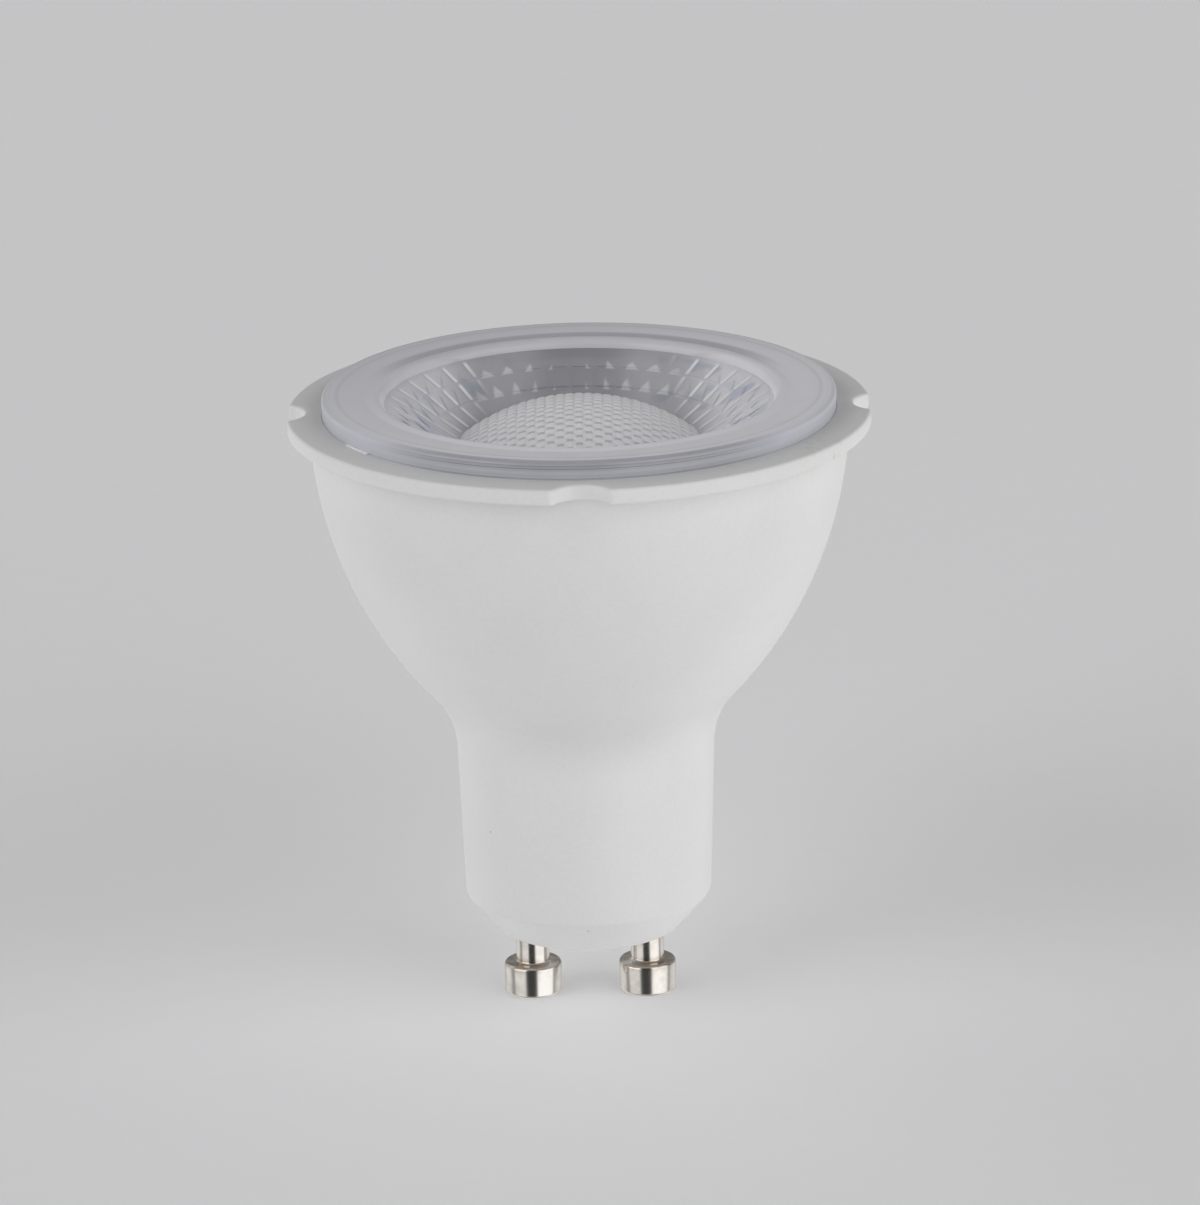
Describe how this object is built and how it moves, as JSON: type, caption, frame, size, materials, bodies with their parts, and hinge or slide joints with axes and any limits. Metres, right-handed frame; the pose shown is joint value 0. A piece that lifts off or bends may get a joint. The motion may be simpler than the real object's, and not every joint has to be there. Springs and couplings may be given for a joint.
{
  "type": "spotlight lamp",
  "caption": "Reflector spotlight lamp: white flared housing with a notched front flange, a faceted clear lens with a beaded centre, and a twist-lock cap with headed contact pins.",
  "frame": {"origin": "on the lamp axis in the plane of the pin ends", "axes": "+Z along the lamp axis from the pins to the lens, +X through the two contact pins"},
  "size_m": [0.0498, 0.0498, 0.0545],
  "materials": {
    "white_plastic": "fine satin moulded thermoplastic",
    "clear_acrylic": "clear moulded acrylic",
    "drawn_aluminium": "drawn and degreased sheet",
    "white_solder_mask": "white solder mask on an aluminium core",
    "led_phosphor": "phosphor window in a white frame",
    "nickel_plate": "bright nickel plate on brass",
    "screw_steel": "zinc-plated steel",
    "green_board": "green solder mask on glass-fibre laminate",
    "dark_sleeve": "shrunk plastic sleeve",
    "ferrite": "sintered ferrite",
    "copper_winding": "enamelled copper wire",
    "black_moulding": "moulded epoxy",
    "resistor_enamel": "enamel coat",
    "red_insulation": "extruded insulation",
    "white_insulation": "extruded insulation"
  },
  "bodies": {
    "root": {"board_screw_1": "screw_steel", "board_screw_2": "screw_steel", "bridge_rectifier": "black_moulding", "chip_resistor_1": "black_moulding", "chip_resistor_2": "black_moulding", "chip_resistor_3": "black_moulding", "choke_core": "ferrite", "choke_winding": "copper_winding", "contact_pin_left": "nickel_plate", "contact_pin_right": "nickel_plate", "driver_board": "green_board", "driver_chip": "black_moulding", "fuse_resistor": "resistor_enamel", "heat_sink_cup": "drawn_aluminium", "housing": "white_plastic", "input_capacitor": "dark_sleeve", "input_wire_left": "white_insulation", "input_wire_right": "white_insulation", "led_1": "led_phosphor", "led_2": "led_phosphor", "led_3": "led_phosphor", "led_4": "led_phosphor", "led_5": "led_phosphor", "led_6": "led_phosphor", "led_board": "white_solder_mask", "lens": "clear_acrylic", "output_capacitor": "dark_sleeve", "output_wire_negative": "white_insulation", "output_wire_positive": "red_insulation"}
  },
  "joints": []
}
